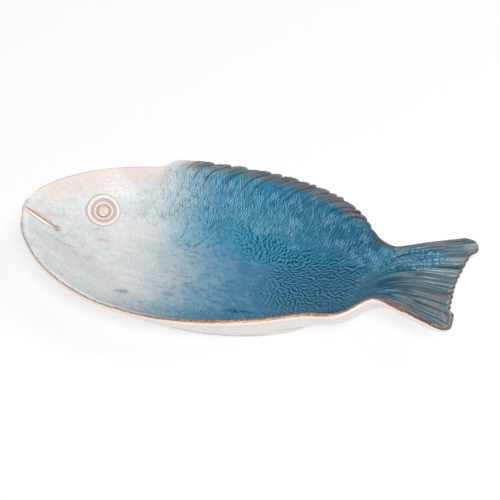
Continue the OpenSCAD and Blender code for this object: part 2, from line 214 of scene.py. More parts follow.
# distances from the edge: inwards above 0, down the outside below 0
def edgeDepths(piece):
    sides = np.sign(vertexNormals(piece)[:, 2])
    return sides * [edgeTree.find(point)[2] / mm for point in vertexPlaces(piece)]


rimDepths = [edgeDepths(piece) for piece in (dish, tail)]
for piece in (dish, tail):
    places, normals = vertexPlaces(piece), vertexNormals(piece)
    profile, strength, _ = rayPattern(places[:, 0] / mm, places[:, 1] / mm)
    upper = ease((normals[:, 2] - rayValues["faceFrom"]) / rayValues["faceOver"])
    lift = np.interp(places[:, 0] / mm, [rootX / mm, rayValues["tailX"]],
                     [rayValues["root"], rayValues["tailLift"]])
    rise = upper * strength * (profile - rayValues["mean"]) * lift * mm
    moveVertices(piece, places + normals * rise[:, None])


# dorsal fin: a ribbed web laid over the back edge, with ribs that run on down the inside of the dish
finValues = {
    # the web, and its height along the back with a low run-out behind the hump
    "height": 13.3, "lean": 38, "thick": 4, "tip": 1.6, "tipRound": 0.7, "rim": 7,
    "grow": 24, "low": 0.58, "crest": 0.66, "spread": 0.35, "drop": 42, "round": 0.65,
    "trail": 16, "runOut": 0.24,
    # ribs: their spacing, their profile and how far they reach
    "frontPitch": 17, "rearPitch": 9.5, "pitchFrom": -20, "pitchTo": 25, "stray": 0.22, "strayTurn": 2.3,
    "rise": 0.7, "second": 0.25, "third": 0.45, "lines": 0.2, "fine": 8, "uneven": 0.25, "unevenTurn": 2.4,
    "ribFrom": 16, "ribOver": 18, "ribEnd": 36, "ribHeight": 2.4, "ribMean": 0.45,
    "ribRoot": 0.8, "ribWall": 0.7, "reach": 0.6, "rayedTo": 7.5, "rayedOver": 10,
    # how far web and ribs rake to the rear
    "sweep": 0.95, "curve": 0.55, "settle": 0.012, "swingIn": 50, "swingOut": 50, "backSwing": 0.75,
    # how the web laps over the rim and lies on the wall of the dish
    "lap": 5, "roll": 3, "skirt": 28, "fade": 0.5, "lift": 1.0, "liftRate": 3, "bury": 0.5, "buryFrom": 0.3,
    "soften": 10, "softReach": 6, "heelLow": (3.2, -3.5), "heelHigh": (7.0, -6.3),
    "heart": 2.2, "heartDrop": 5.5, "heartAt": (0.3, 0.65), "hidden": -20,
    # how finely the loft is cut, and the height from which the wall is looked up
    "stations": 560, "wallSteps": 18, "faceSteps": 11, "tipSteps": 6, "heelSteps": 4,
    "pitchSteps": 2000, "tangent": 2, "lookFrom": 200,
    # the brown line on the run-out
    "brown": 1.2, "brownLoss": 2, "brownGain": 4.8, "brownLead": 8, "brownOver": 12}


# the points of a node that have another point straight below them, at the rim's thickness
def upperEdge(nodeName, rim):
    node = weldedCopy(nodeName, "edgeFinder")
    places = vertexPlaces(node)
    bpy.data.objects.remove(node)
    tree = treeOf(places)
    found = [point for point in places if tree.find(point - (0, 0, rim * mm))[2] < 2 * weld]
    return np.array(sorted(found, key=lambda point: point[0]))


def buildFin():
    v = finValues
    edge = upperEdge("dorsal_fin", v["rim"]) / mm
    onward = (edge[-1] - edge[-4]) / np.linalg.norm(edge[-1] - edge[-4])
    edge = np.vstack([edge, edge[-1] + onward * v["trail"]])
    steps = np.linalg.norm(np.diff(edge[:, :2], axis=0), axis=1)
    run = np.concatenate([[0], np.cumsum(steps)])
    total = run[-1]
    skin = skinOf(dish)

    def edgeAt(s):
        place = np.array([np.interp(s, run, edge[:, axis]) for axis in range(3)])
        ahead = np.array([np.interp(s + v["tangent"], run, edge[:, axis]) for axis in range(2)])
        behind = np.array([np.interp(s - v["tangent"], run, edge[:, axis]) for axis in range(2)])
        along = (ahead - behind) / np.linalg.norm(ahead - behind)
        return place, np.array([-along[1], along[0]]), along

    # the place and the normal on the wall of the dish, d millimetres in from the edge
    def wallAt(s, d, share):
        place, outward, along = edgeAt(s)
        spot = place[:2] - outward * d - along * d * (v["sweep"] - v["settle"] * d) * share
        hit, normal, _, _ = skin.ray_cast(Vector((*spot, v["lookFrom"])) * mm, Vector((0, 0, -1)))
        return np.array(hit) / mm, np.array(normal)

    # a point of the web's section, set up on the edge
    def onEdge(place, outward, flat):
        return np.array([*(place[:2] + outward * flat[0]), place[2] + flat[1]])

    # ribs stand wide apart at the front and close together at the rear
    fine = np.linspace(0, total, v["pitchSteps"])
    gaps = np.interp(np.interp(fine, run, edge[:, 0]), [v["pitchFrom"], v["pitchTo"]],
                     [v["frontPitch"], v["rearPitch"]])
    turns = np.concatenate([[0], np.cumsum(np.diff(fine) / gaps[1:])])
    turns = turns + v["stray"] * np.sin(v["strayTurn"] * turns)
    lean = math.radians(v["lean"])
    out = np.array([math.cos(lean), math.sin(lean)])
    face = np.array([-math.sin(lean), math.cos(lean)])

    # a rib rises slowly and drops at once, like a shingle
    def shingle(turn):
        part = turn % 1
        if part < v["rise"]:
            return float(ease(part / v["rise"]))
        return float(1 - ease((part - v["rise"]) / (1 - v["rise"])))

    def shareAt(s):
        swell = v["low"] + (1 - v["low"]) * bell((s / total - v["crest"]) / v["spread"])
        drop = np.clip((s - total + v["trail"] + v["drop"]) / v["drop"], 0, 1)
        hump = ease(s / v["grow"]) * swell * (1 - drop ** 2) ** v["round"]
        low = v["runOut"] * ease((total - s) / v["trail"]) * ease(2 * s / total - 1)
        return float(hump + low * (1 - hump))

    def liftAt(share):
        return v["lift"] * min(1, v["liftRate"] * share)

    inner = np.linspace(1, 0, v["wallSteps"] + 1)[:-1]
    outer = np.linspace(0, 1, v["faceSteps"] + 1)
    tip = np.linspace(0, 1, v["tipSteps"] + 1)[1:]
    back = np.linspace(0, 1, v["heelSteps"] + 1)[1:]
    rings, depths, bands, crests, rays, rayed, browns = [], [], [], [], [], [], []
    for s in np.linspace(0, total, v["stations"]):
        share = shareAt(s)
        swing = float(ease(s / v["swingIn"]) * ease((total - s) / v["swingOut"])) * v["height"]
        turn = np.interp(s, fine, turns)
        wave = shingle(turn) + v["second"] * shingle(2 * turn) + v["third"] * shingle(3 * turn)
        wave = wave / (1 + v["second"] + v["third"])
        strong = float(ease((s - v["ribFrom"]) / v["ribOver"]) * ease((total - v["trail"] - s) / v["ribEnd"]))
        strong = strong * (1 + v["uneven"] * math.sin(v["unevenTurn"] * math.floor(turn) + 0.6))
        rib = v["ribHeight"] * strong * (wave - v["ribMean"])
        shown = 0.5 + (wave - 0.5 + v["lines"] * math.cos(6 * math.pi * turn)) * min(1, strong)
        sink = v["bury"] * (1 - share) ** 4
        ring, depth, band, crest = [], [], [], []
        for k in inner:                                   # up the inside of the dish
            d = k * v["skirt"]
            hit, normal = wallAt(s, d, share)
            fade = float(ease(1 - k / v["fade"]))
            under = float(ease((k - v["buryFrom"]) / (1 - v["buryFrom"])))
            above = liftAt(share) * (1 - under) - v["bury"] * under - sink + rib * v["ribWall"] * fade
            ring.append(hit + normal * above)
            depth.append(v["lap"] + d)
            band.append(v["lap"] + d + v["height"] * share)
            crest.append(0.5 + (shown - 0.5) * fade)
        for w in outer:                                   # over the edge and out along the ribbed face
            raked = s + swing * (v["sweep"] + v["curve"] * w) * w
            place, outward, _ = edgeAt(raked)
            share = shareAt(raked)
            ribHere = rib * (v["ribRoot"] + (1 - v["ribRoot"]) * ease(w))
            flat = out * (v["height"] * share + rib * v["reach"] * w) * w
            flat = flat + face * (ribHere + liftAt(share) - sink)
            ring.append(onEdge(place, outward, flat))
            depth.append(v["lap"] - w * v["height"])
            band.append(v["roll"] + (v["lap"] - v["roll"] + v["height"] * share) * (1 - w))
            crest.append(shown)
        tipRun = swing * (v["sweep"] + v["curve"])
        edgePlace, edgeOut, _ = edgeAt(s + tipRun)
        top = flat
        under = out * (v["height"] * share + rib * v["reach"]) - face * (v["tip"] * share + sink)
        for k in tip:                                     # round the tip
            angle = math.pi * k
            middle, half = (top + under) / 2, (top - under) / 2
            flat = middle + half * math.cos(angle)
            flat = flat + out * np.linalg.norm(half) * v["tipRound"] * math.sin(angle)
            ring.append(onEdge(edgePlace, edgeOut, flat))
            depth.append(-k * v["tip"])
            band.append(v["roll"] - v["lap"] * k)
            crest.append(0.5 + (shown - 0.5) * (1 - k))
        heel = np.array(v["heelLow"]) * (1 - share) + np.array(v["heelHigh"]) * share
        for k in back:                                    # down the back to the heel
            flat = under + (heel - under) * k - face * (v["thick"] - v["tip"]) * share * k * (1 - k) * 2
            place, outward, _ = edgeAt(s + tipRun * (1 - v["backSwing"] * k))
            ring.append(onEdge(place, outward, flat))
            depth.append(-v["thick"] - k * v["height"])
            band.append(v["roll"] - v["lap"] - k * v["height"] * share)
            crest.append(0.5)
        place, _, _ = edgeAt(s)
        share = shareAt(s)
        roots = [place - (0, 0, v["heartDrop"])]
        for k in v["heartAt"]:                            # the root, inside the wall of the dish
            hit, normal = wallAt(s, k * v["skirt"], share)
            roots.append(hit - normal * v["heart"])
        depth.extend([v["hidden"]] * len(roots))
        band.extend([v["hidden"]] * len(roots))
        crest.extend([0.5] * len(roots))
        ring = np.array(ring + roots)
        low, high = len(inner) - v["softReach"], len(inner) + v["softReach"]
        for _ in range(v["soften"]):                      # a rounded turn from the wall on to the face
            ring[low:high] = (ring[low - 1:high - 1] + 2 * ring[low:high] + ring[low + 1:high + 1]) / 4
        rings.append(ring)
        depths.extend(depth)
        bands.extend(band)
        crests.extend(crest)
        rays.extend([turn * v["fine"]] * len(ring))
        rearward = float(ease((s - total + v["trail"] + v["brownLead"]) / v["brownOver"]))
        brown = v["brown"] - v["brownLoss"] * min(1, 2 * share) + v["brownGain"] * rearward
        browns.extend([brown] * len(ring))
        rayed.extend([min(1, strong) * float(ease((v["rayedTo"] - d) / v["rayedOver"])) for d in depth])
    count, size = len(rings), len(rings[0])
    points = [tuple(point * mm) for ring in rings for point in ring]
    faces = [(i * size + j, i * size + (j + 1) % size, (i + 1) * size + (j + 1) % size, (i + 1) * size + j)
             for i in range(count - 1) for j in range(size)]
    faces += [tuple(range(size)), tuple(range((count - 1) * size, count * size))]
    mesh = bpy.data.meshes.new("backFin")
    mesh.from_pydata(points, [], faces)
    piece = bpy.data.objects.new("backFin", mesh)
    scene.collection.objects.link(piece)
    selectOnly(piece)
    bpy.ops.object.mode_set(mode="EDIT")
    bpy.ops.mesh.select_all(action="SELECT")
    bpy.ops.mesh.normals_make_consistent(inside=False)
    bpy.ops.object.mode_set(mode="OBJECT")
    bpy.ops.object.shade_smooth()
    glazeNumbers(piece, rimDepth=depths, edgeBand=bands, crest=crests, ray=rays, rayed=rayed,
                 brownTo=browns, peachTo=np.minimum(browns, 0) - 1)
    return piece, edge, run, total


fin, finEdge, finRun, finTotal = buildFin()
print("platter: dorsal fin laid,", len(fin.data.polygons), "faces")

# edge of the glaze: how wide the peach-white roll and the brown line are, along the belly and along the back
rimValues = {"bellyX": (-205, -60, 0, 80, 110, 128, 150, 205),
             "bellyPeach": (0.9, 1.2, 1.4, 1.4, 2.0, 1.8, 0.8, 0.5),
             "bellyBrown": (0.9, 1.3, 2.7, 2.7, 1.2, 1.2, 3.0, 2.0),
             "backX": (-205, -90, 95, 106, 132, 150, 205),
             "backPeach": (0.3, 0.3, 0.2, 0.0, 0.0, 0.2, 0.4),
             "backBrown": (1.0, 1.2, 1.6, 5.2, 4.8, 2.8, 2.0), "turn": 50}
for piece, depths in zip((dish, tail), rimDepths):
    places = vertexPlaces(piece) / mm
    x, y = places[:, 0], places[:, 1]
    along = np.interp(x, finEdge[:, 0], finRun)
    share = ease(along / finValues["grow"]) ** 2 * ease((finTotal - along) / finValues["drop"])
    share = share * (y > 0) * (depths > -1)              # no rim line under the fin
    back = ease(y / rimValues["turn"] + 0.5)
    peach, brown = [np.interp(x, rimValues["bellyX"], rimValues["belly" + line]) * (1 - back)
                    + np.interp(x, rimValues["backX"], rimValues["back" + line]) * back
                    for line in ("Peach", "Brown")]
    profile, strength, ray = rayPattern(x, y)
    inside = depths > 0
    glazeNumbers(piece, rimDepth=depths, edgeBand=depths + share * finValues["height"],
                 crest=0.5 + (profile - 0.5) * strength * inside, peachTo=peach, brownTo=peach + brown,
                 ray=ray, rayed=strength * inside)
    closeRoot(piece)
print("platter: edge bands measured")

# eye and lips: rolls of clay pressed into the slope of the head
dishSkin = skinOf(dish)
pressValues = {"base": 0.5, "depth": 1.2}


def pressedPiece(nodeName, pieceName):
    piece = weldedCopy(nodeName, pieceName)
    for vertex in piece.data.vertices:
        _, normal, _, distance = dishSkin.find_nearest(vertex.co)
        if distance < pressValues["base"] * mm:
            vertex.co -= normal * pressValues["depth"] * mm
    rounded(piece)
    heights = [dishSkin.find_nearest(vertex.co) for vertex in piece.data.vertices]
    heights = [(vertex.co - hit[0]).dot(hit[1]) / mm for vertex, hit in zip(piece.data.vertices, heights)]
    glazeNumbers(piece, rise=heights)
    return piece


eyeMiddle = (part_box("eye_outer_ring")[0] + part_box("eye_outer_ring")[1]) / 2
eyeOuter = pressedPiece("eye_outer_ring", "eyeOuterRoll")
eyeInner = pressedPiece("eye_inner_ring", "eyeInnerRoll")
pupil = pressedPiece("eye_pupil", "eyeButton")
upperLip = pressedPiece("upper_lip", "upperLipRoll")
lowerLip = pressedPiece("lower_lip", "lowerLipRoll")
print("platter: eye and lips pressed in")

# foot: an oval band, rounded along its length with its profile kept
footValues = {"hold": 0.8, "turn": 3}
foot = weldedCopy("foot_ring", "footBand")
footLow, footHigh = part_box("foot_ring")
footMiddle, footHalf = (footLow + footHigh) / 2, (footHigh - footLow) / 2
hold = foot.data.attributes.new("crease_edge", "FLOAT", "EDGE")
for edge in foot.data.edges:
    turns = [math.atan2((place.y - footMiddle.y) / footHalf.y, (place.x - footMiddle.x) / footHalf.x)
             for place in (foot.data.vertices[index].co for index in edge.vertices)]
    turn = abs(math.degrees(turns[0] - turns[1]))
    if footValues["turn"] < turn < 360 - footValues["turn"]:
        hold.data[edge.index].value = footValues["hold"]
rounded(foot)
print("platter: foot rounded")


def tone(code):
    parts = [int(code[i:i + 2], 16) / 255 for i in (1, 3, 5)]
    return (*(part / 12.92 if part <= 0.04045 else ((part + 0.055) / 1.055) ** 2.4 for part in parts), 1)


def putNode(tree, kind, feeds=None, out=0, stops=(), **settings):
    node = tree.nodes.new("ShaderNode" + kind)
    for name, value in settings.items():
        setattr(node, name, value)
    for index, (at, colour) in enumerate(stops):
        stop = node.color_ramp.elements[index] if index < 2 else node.color_ramp.elements.new(at)
        stop.position, stop.color = at, tone(colour)
    for socket, feed in (feeds or {}).items():
        if isinstance(feed, bpy.types.NodeSocket):
            tree.links.new(feed, node.inputs[socket])
        else:
            node.inputs[socket].default_value = feed
    return node.outputs[out]


def newMaterial(name):
    material = bpy.data.materials.new(name)
    material.use_nodes = True
    tree = material.node_tree
    tree.nodes.clear()
    return material, tree


soft = {"interpolation_type": "SMOOTHSTEP"}
blend = {"out": 2, "data_type": "RGBA"}
glazeIndex = 1.5


def allOf(tree, part, *others):
    for other in others:
        part = putNode(tree, "Math", {0: part, 1: other}, operation="MULTIPLY")
    return part


# a share of a shade over the colour, where a pattern goes from one value to another, within all the places
def wash(tree, colour, source, off, full, share, shade, *places):
    part = putNode(tree, "MapRange", {"Value": source, "From Min": off, "From Max": full,
                                      "To Max": share}, **soft)
    return putNode(tree, "Mix", {0: allOf(tree, part, *places), 6: colour, 7: tone(shade)}, **blend)


def addShader(tree, colour, roughness, bump):
    shader = putNode(tree, "BsdfPrincipled", {"Base Color": colour, "Roughness": roughness,
                                              "IOR": glazeIndex, "Normal": bump})
    tree.links.new(shader, tree.nodes.new("ShaderNodeOutputMaterial").inputs["Surface"])


# marks on the plan have shaken outlines: both reaches are in millimetres, and each shifts a mark by its half
warpReach, shakeReach = 8.0, 3.0
markShift = (warpReach + shakeReach) / 2


# 1 on the outline of an oval mark, less inside it
def markDistance(tree, vector, place, halves, turn):
    local = putNode(tree, "Mapping", {"Vector": vector, "Rotation": (0, 0, math.radians(turn)),
                                      "Location": (place[0] + markShift, place[1] + markShift, 0),
                                      "Scale": (*halves, 1e6)}, vector_type="TEXTURE")
    return putNode(tree, "VectorMath", {0: local}, out="Value", operation="LENGTH")


# reactive stoneware glaze: a white that runs into blue, pools dark, streaks down the walls,
# curls on the floor and breaks to brown clay on edges and ribs
outsideTone = "#EFE9E7"
fanSpot = (15, 12)                            # the curls on the floor spread from here
hairSpot = (-46, 36, 17)                      # the hairlines lie round here
patchMark = ((151, 25), (36, 15), 15)         # the crackled patch on the tail: place, half sizes and turn
# marks of colour: place, half sizes and turn on the plan, colour, strength; three of them are painted light
blots = (
    ((-94, -50), (6.5, 4.6), 8, "#4C8FB4", 0.8), ((-106, 5), (9, 3), 10, "#F4F6F4", 0.6),
    ((-56, -39), (6, 4.6), 0, "#4F90B3", 0.75), ((10.5, -47.5), (14, 3.8), 9, "#0D4962", 1.0),
    ((84, -41), (17, 2.4), 16, "#14566C", 0.75), ((-130, 7.5), (6, 2.2), 0, "#C9B3A8", 0.55),
    ((-124, -4), (9, 4.2), 15, "#DDEDEC", 0.65), ((-171.5, 0.8), (3.4, 3.8), 0, "#A67A64", 0.85),
    # the grey line at (-160, -11.5) under the mouth is painted shade along a fold
    # the near-white oval at (-130, 61) high on the head's back wall is a painted highlight
    ((-160, -11.5), (13.5, 1.1), -2, "#B3AAA5", 0.8), ((-130, 61), (20, 12), -5, "#FDFBF9", 0.5),
    ((112, 40), (11, 5), -46, "#3A5468", 0.6), ((143, -11), (18, 4.5), 8, "#0C4860", 0.95),
    ((198, 53), (7, 4.5), 20, "#AEB6B4", 0.7), ((191, -36), (9, 1.6), -70, "#6F5443", 0.8),
    ((195, -37), (9, 1.4), -70, "#F1E6DE", 0.8), ((187.5, -35), (8, 1.2), -70, "#CFC4BC", 0.5),
    # the grey oval at (-140, -25) on the head's near side is painted shade
    ((-140, -25), (50, 15), -20, "#B9B9B4", 0.35), ((172, -24), (22, 9), -35, "#93A3A8", 0.35),
    ((62, -38), (42, 8), 6, "#7C97A6", 0.35), ((-20, -12), (4, 7), 30, "#B4C2CB", 0.4),
    ((3, 11), (9, 8), 0, "#2F6FA0", 0.45), ((26, -10), (9, 10), 0, "#2F6FA0", 0.35))


def reactiveGlaze():
    material, tree = newMaterial("reactiveStonewareGlaze")
    coords = putNode(tree, "TexCoord", out="Object")
    spot = putNode(tree, "VectorMath", {0: coords, "Scale": 1000.0}, operation="SCALE")     # millimetres
    x, y, z = putNode(tree, "SeparateXYZ", {0: spot}).node.outputs
    rim, band, crest, ray, rayed, peachTo, brownTo = [
        putNode(tree, "Attribute", out="Fac", attribute_name=name)
        for name in ("rimDepth", "edgeBand", "crest", "ray", "rayed", "peachTo", "brownTo")]
    broad = putNode(tree, "TexNoise", {"Vector": spot, "Scale": 1 / 38, "Detail": 3.0})
    cloud = putNode(tree, "TexNoise", {"Vector": spot, "Scale": 1 / 11, "Detail": 4.0})
    grain = putNode(tree, "TexNoise", {"Vector": spot, "Scale": 1 / 2.2, "Detail": 3.0})

    # how far the blue has run along the fish, with a ragged front: quick on the back wall, slow on the floor
    ragged = x
    for source, reach in ((broad, 40.0), (cloud, 22.0), (grain, 10.0)):
        ragged = putNode(tree, "Math", {0: source, 1: reach, 2: ragged}, operation="MULTIPLY_ADD")
    along = putNode(tree, "MapRange", {"Value": ragged, "From Min": -79.0, "From Max": 161.0})
    backWall = putNode(tree, "ValToRGB", {0: along}, stops=(
        (0.0, "#EFEDEB"), (1.0, "#216A88"), (0.13, "#DEE4E6"), (0.21, "#A8C7D3"), (0.28, "#70ADC6"),
        (0.37, "#469ABB"), (0.50, "#288AB1"), (0.70, "#137AA0"), (0.86, "#196F90")))
    floorWall = putNode(tree, "ValToRGB", {0: along}, stops=(
        (0.0, "#E8E7E4"), (1.0, "#286B88"), (0.13, "#E0E2E1"), (0.21, "#C4CFD3"), (0.29, "#9DBBC8"),
        (0.36, "#7BA7BD"), (0.50, "#4A88A7"), (0.67, "#2F7595"), (0.82, "#276B89")))
    backPart = putNode(tree, "MapRange", {"Value": y, "From Min": 0.0, "From Max": 42.0}, **soft)
    ground = putNode(tree, "Mix", {0: backPart, 6: floorWall, 7: backWall}, **blend)
    blue = putNode(tree, "MapRange", {"Value": along, "From Min": -0.1, "From Max": 0.36}, **soft)
    pale = putNode(tree, "MapRange", {"Value": along, "From Min": 0.32, "From Max": 0.10}, **soft)

    # the pale head: clouds, wisps along the fish and fine specks
    wisp = putNode(tree, "VectorMath", {0: spot, 1: (1 / 20, 1 / 7, 1 / 10)}, operation="MULTIPLY")
    wisps = putNode(tree, "TexNoise", {"Vector": wisp, "Scale": 1.0, "Detail": 5.0, "Distortion": 0.8})
    drift = putNode(tree, "VectorMath", {0: spot, 1: (1 / 9, 1 / 4, 1 / 6)}, operation="MULTIPLY")
    drift = putNode(tree, "TexNoise", {"Vector": drift, "Scale": 1.0, "Detail": 4.0, "Distortion": 0.6})
    speck = putNode(tree, "TexNoise", {"Vector": spot, "Scale": 1 / 1.3, "Detail": 2.0})
    colour = ground
    for source, off, full, share, shade in (
            (wisps, 0.52, 0.70, 0.45, "#FBF8F6"), (wisps, 0.47, 0.30, 0.35, "#BAC6CB"),
            (cloud, 0.50, 0.66, 0.5, "#F4F4F2"), (cloud, 0.47, 0.34, 0.4, "#C4D2D7"),
            (grain, 0.46, 0.34, 0.35, "#B4C3CA"), (speck, 0.60, 0.70, 0.55, "#B0A49E")):
        colour = wash(tree, colour, source, off, full, share, shade, pale)

    # runs down the walls: dashes about 1.3 mm wide, upright at the front and raked to the rear like the ribs
    rake = putNode(tree, "MapRange", {"Value": x, "From Min": -30.0, "From Max": 100.0,
                                      "To Min": -0.15, "To Max": 0.65}, **soft)
    across = putNode(tree, "Math", {0: rim, 1: rake, 2: x}, operation="MULTIPLY_ADD")
    run = putNode(tree, "CombineXYZ", {0: across, 1: rim})
    runs = putNode(tree, "TexGabor", {"Vector": run, "Scale": 1 / 4.4, "Frequency": 2.0, "Anisotropy": 0.5,
                                      "Orientation": 0.0}, gabor_type="2D")
    thread = putNode(tree, "VectorMath", {0: run, 1: (1 / 1.4, 1 / 6, 1.0)}, operation="MULTIPLY")
    threads = putNode(tree, "TexNoise", {"Vector": thread, "Scale": 1.0, "Detail": 2.0, "Distortion": 0.5})

    # curls on the floor: strokes about 2 by 7 mm that spread like an uneven fan
    fromX, fromY = [putNode(tree, "Math", {0: place, 1: float(middle)}, operation="SUBTRACT")
                    for place, middle in zip((x, y), fanSpot)]
    fan = putNode(tree, "Math", {0: fromY, 1: fromX}, operation="ARCTAN2")
    fan = putNode(tree, "Math", {0: cloud, 1: 3.4, 2: fan}, operation="MULTIPLY_ADD")
    fan = putNode(tree, "Math", {0: fan, 1: math.pi / 2 - 1.7}, operation="ADD")
    warp = putNode(tree, "TexNoise", {"Vector": spot, "Scale": 1 / 14, "Detail": 1.0}, out="Color")
    curl = putNode(tree, "VectorMath", {0: warp, 1: (warpReach, warpReach, 0.0), 2: spot},
                   operation="MULTIPLY_ADD")
    curls = putNode(tree, "TexGabor", {"Vector": curl, "Scale": 1 / 7, "Frequency": 2.0, "Anisotropy": 0.5,
                                       "Orientation": fan}, gabor_type="2D")
    curls = putNode(tree, "Math", {0: grain, 1: 0.12, 2: curls}, operation="MULTIPLY_ADD")
    curls = putNode(tree, "Math", {0: curls, 1: 0.06}, operation="SUBTRACT")
    low = putNode(tree, "Math", {0: x, 1: 0.3, 2: y}, operation="MULTIPLY_ADD")
    low = putNode(tree, "Math", {0: cloud, 1: 24.0, 2: low}, operation="MULTIPLY_ADD")
    low = putNode(tree, "MapRange", {"Value": low, "From Min": 71.0, "From Max": 58.0}, **soft)
    rear = putNode(tree, "Math", {0: y, 1: 0.6, 2: ragged}, operation="MULTIPLY_ADD")
    rear = putNode(tree, "MapRange", {"Value": rear, "From Min": 30.0, "From Max": 80.0}, **soft)
    before = putNode(tree, "MapRange", {"Value": x, "From Min": 120.0, "From Max": 98.0}, **soft)
    heart = putNode(tree, "VectorMath", {0: curl, 1: (fanSpot[0] + 4.0, fanSpot[1] + 4.0, 16.0)}, out="Value",
                    operation="DISTANCE")
    heart = putNode(tree, "MapRange", {"Value": heart, "From Min": 4.0, "From Max": 14.0}, **soft)
    curled = allOf(tree, low, rear, before, heart)
    steep = putNode(tree, "MapRange", {"Value": z, "From Min": 16.0, "From Max": 23.0,
                                       "To Min": 0.25}, **soft)
    steep = putNode(tree, "Math", {0: steep, 1: curled}, operation="SUBTRACT", use_clamp=True)
    offEdge = putNode(tree, "MapRange", {"Value": band, "From Min": 4.0, "From Max": 10.0}, **soft)
    patchy = putNode(tree, "MapRange", {"Value": cloud, "From Min": 0.36, "From Max": 0.56,
                                        "To Min": 0.55}, **soft)
    smooth = putNode(tree, "Math", {0: 1.0, 1: rayed}, operation="SUBTRACT")
    steep = allOf(tree, steep, blue, offEdge, patchy, smooth)
    level = putNode(tree, "MapRange", {"Value": z, "From Min": 24.0, "From Max": 17.0}, **soft)
    level = putNode(tree, "Math", {0: level, 1: curled}, operation="SUBTRACT", use_clamp=True)
    level = putNode(tree, "Math", {0: level, 1: pale}, operation="SUBTRACT", use_clamp=True)
    for source, place, off, full, share, shade in (
            (drift, level, 0.50, 0.36, 0.45, "#3A6C90"), (drift, level, 0.52, 0.68, 0.3, "#A6B9C8"),
            (broad, steep, 0.52, 0.68, 0.35, "#8CC0D2"), (broad, steep, 0.48, 0.34, 0.4, "#1A6484"),
            (cloud, steep, 0.52, 0.66, 0.5, "#86C2D6"), (cloud, steep, 0.48, 0.36, 0.5, "#0F5F84"),
            (threads, steep, 0.49, 0.40, 0.8, "#0B5377"), (threads, steep, 0.52, 0.64, 0.6, "#86BED2"),
            (runs, steep, 0.48, 0.43, 0.65, "#04507A"), (runs, steep, 0.53, 0.58, 0.4, "#74BCD4"),
            (curls, curled, 0.475, 0.415, 0.95, "#0C4059"), (curls, curled, 0.53, 0.59, 0.45, "#64A6C0")):
        colour = wash(tree, colour, source, off, full, share, shade, place)

    # a few hairlines that wander over the front of the floor
    hair = putNode(tree, "TexNoise", {"Vector": spot, "Scale": 1 / 26, "Detail": 4.0, "Distortion": 0.6})
    hair = putNode(tree, "MapRange", {"Value": hair, "From Min": 0.470, "From Max": 0.510})
    hair = putNode(tree, "Math", {0: hair, 1: 0.5, 2: 0.45}, operation="COMPARE")
    place = putNode(tree, "VectorMath", {0: spot, 1: hairSpot}, out="Value", operation="DISTANCE")
    colour = wash(tree, colour, place, 32.0, 14.0, 0.6, "#2F6F8C", hair)

    # a darker grey-blue inside the belly's edge, and a blush along the edge of the head
    belly = putNode(tree, "MapRange", {"Value": y, "From Min": 0.0, "From Max": -30.0})
    started = putNode(tree, "MapRange", {"Value": x, "From Min": -125.0, "From Max": -50.0})
    front = putNode(tree, "MapRange", {"Value": x, "From Min": -60.0, "From Max": -120.0})
    colour = wash(tree, colour, band, 20.0, 8.0, 0.45, "#4A7086", belly, started)
    colour = wash(tree, colour, band, 30.0, 5.0, 0.6, "#EBD2C5", front, backPart)

    # a pinkish-beige disc round the eye, under its rolls and a little beyond them
    eyeSpot = putNode(tree, "VectorMath", {0: spot, 1: tuple(eyeMiddle / mm)}, out="Value",
                      operation="DISTANCE")
    colour = wash(tree, colour, eyeSpot, 17.0, 15.6, 0.9, "#CFBBB2")

    # tail: grey-blue between the rays, with a bright crackled patch along its upper side and painted glints
    # on it
    tailPart = putNode(tree, "MapRange", {"Value": x, "From Min": 128.0, "From Max": 172.0}, **soft)
    tailTone = putNode(tree, "Math", {0: tailPart, 1: 0.85}, operation="MULTIPLY")
    colour = putNode(tree, "Mix", {0: tailTone, 6: colour, 7: tone("#5C7580")}, **blend)
    shaken = putNode(tree, "TexNoise", {"Vector": spot, "Scale": 1 / 4, "Detail": 2.0}, out="Color")
    shaken = putNode(tree, "VectorMath", {0: shaken, 1: (shakeReach, shakeReach, 0.0), 2: curl},
                     operation="MULTIPLY_ADD")
    patch = markDistance(tree, shaken, *patchMark)
    patch = putNode(tree, "MapRange", {"Value": patch, "From Min": 1.15, "From Max": 0.6,
                                       "To Max": 0.9}, **soft)
    cell = putNode(tree, "Math", {0: x, 1: 0.45}, operation="MULTIPLY")
    cell = putNode(tree, "CombineXYZ", {0: ray, 1: cell})
    cell = putNode(tree, "VectorMath", {0: cell, "Scale": 0.5}, operation="SCALE")
    cells = putNode(tree, "TexVoronoi", {"Vector": cell, "Scale": 1.0}, feature="DISTANCE_TO_EDGE",
                    voronoi_dimensions="2D")
    crackle = putNode(tree, "ValToRGB", {0: cells}, stops=(
        (0.0, "#0E4258"), (0.42, "#63B8D0"), (0.08, "#145C78"), (0.20, "#2A86A8")))
    colour = putNode(tree, "Mix", {0: patch, 6: colour, 7: crackle}, **blend)
    # near-white specks on the patch: painted glints, a painted highlight
    colour = wash(tree, colour, speck, 0.64, 0.70, 0.5, "#E4F5F6", patch)

    # the marks, broken up by the grain: spots of colour, with painted shade and a painted highlight among
    # them
    broken = putNode(tree, "MapRange", {"Value": grain, "From Min": 0.38, "From Max": 0.56,
                                        "To Min": 0.3}, **soft)
    for place, halves, turn, shade, share in blots:
        dripAndPaintedLight = markDistance(tree, shaken, place, halves, turn)
        colour = wash(tree, colour, dripAndPaintedLight, 1.3, 0.3, share, shade, broken)

